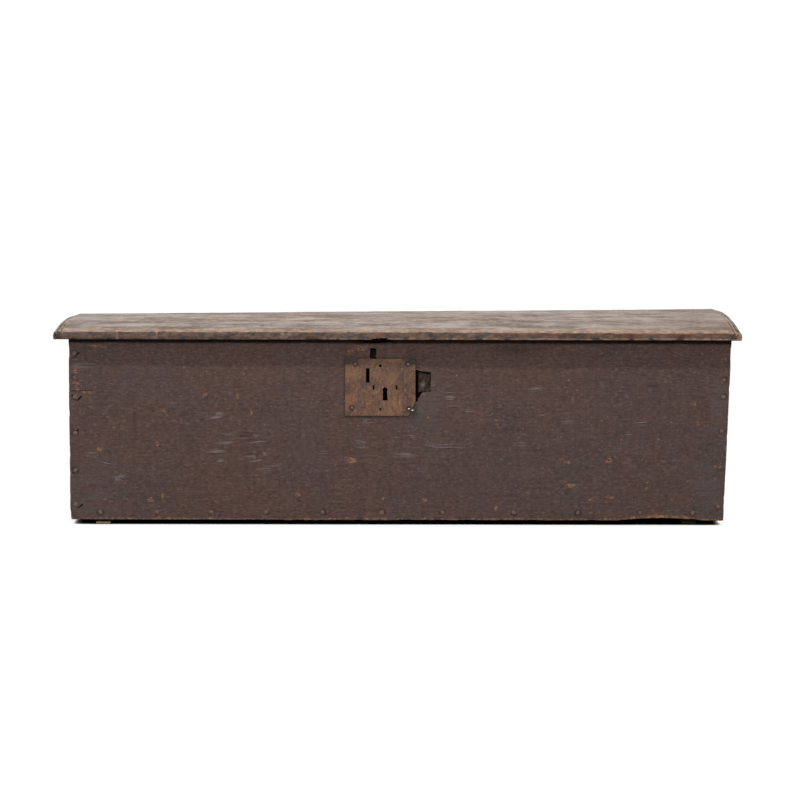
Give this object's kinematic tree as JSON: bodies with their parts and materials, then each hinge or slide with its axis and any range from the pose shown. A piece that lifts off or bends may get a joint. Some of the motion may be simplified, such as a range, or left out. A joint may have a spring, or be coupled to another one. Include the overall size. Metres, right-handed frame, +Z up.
{
  "type": "six plank chest",
  "caption": "Long low wooden chest of nailed planks with a cambered lid on strap hinges, a rusty iron lock plate with keyhole and hasp slot, and runners beneath.",
  "frame": {"origin": "on the floor, under the middle of the lid, which is the widest and deepest piece", "axes": "+X along the front towards its right end, +Y from the front to the back, +Z up"},
  "size_m": [1.288, 0.43, 0.397],
  "materials": {
    "painted_wood": "matt dark umber paint on wood, scratched, worn to orange wood at edges",
    "worn_lid_wood": "scrubbed greyish brown wood with traces of paint, worn pale on the arrises",
    "bare_wood": "bare aged softwood",
    "nail_iron": "hand-made iron nails, brown with rust and paint",
    "rusty_iron": "even brown rust with darker pits",
    "lock_iron": "dark oiled iron with rust",
    "hinge_iron": "wrought iron, blackened and rusty"
  },
  "bodies": {
    "chest": {"front_plank": "painted_wood", "back_plank": "painted_wood", "left_end_plank": "painted_wood", "right_end_plank": "painted_wood", "bottom_plank": "bare_wood", "left_runner": "bare_wood", "right_runner": "bare_wood", "front_left_nails": "nail_iron", "front_right_nails": "nail_iron", "front_foot_nails": "nail_iron", "back_left_nails": "nail_iron", "back_right_nails": "nail_iron", "back_foot_nails": "nail_iron", "left_end_nails": "nail_iron", "right_end_nails": "nail_iron", "left_runner_nails": "nail_iron", "right_runner_nails": "nail_iron", "lock_plate_nails": "nail_iron", "lock_plate": "rusty_iron", "lock_left_guide": "lock_iron", "lock_right_guide": "lock_iron", "lock_spring": "lock_iron", "lock_ward_bridge": "lock_iron", "left_hinge_leaf": "hinge_iron", "left_hinge_pin": "hinge_iron", "left_leaf_nails": "hinge_iron", "right_hinge_leaf": "hinge_iron", "right_hinge_pin": "hinge_iron", "right_leaf_nails": "hinge_iron"},
    "lid": {"lid_plank": "worn_lid_wood", "left_hinge_strap": "hinge_iron", "right_hinge_strap": "hinge_iron", "left_strap_nails": "hinge_iron", "right_strap_nails": "hinge_iron"},
    "lock_bolt": {"lock_bolt": "lock_iron"}
  },
  "joints": [
    {"name": "lid_hinge", "type": "hinge", "parent": "chest", "child": "lid", "pos_m": [0, 0.19358, 0.34702], "axis": [-1, 0, 0], "range_deg": [0, 110]},
    {"name": "lock_bolt_slide", "type": "slide", "parent": "chest", "child": "lock_bolt", "axis": [-1, 0, 0], "range_m": [0, 0.014]}
  ]
}
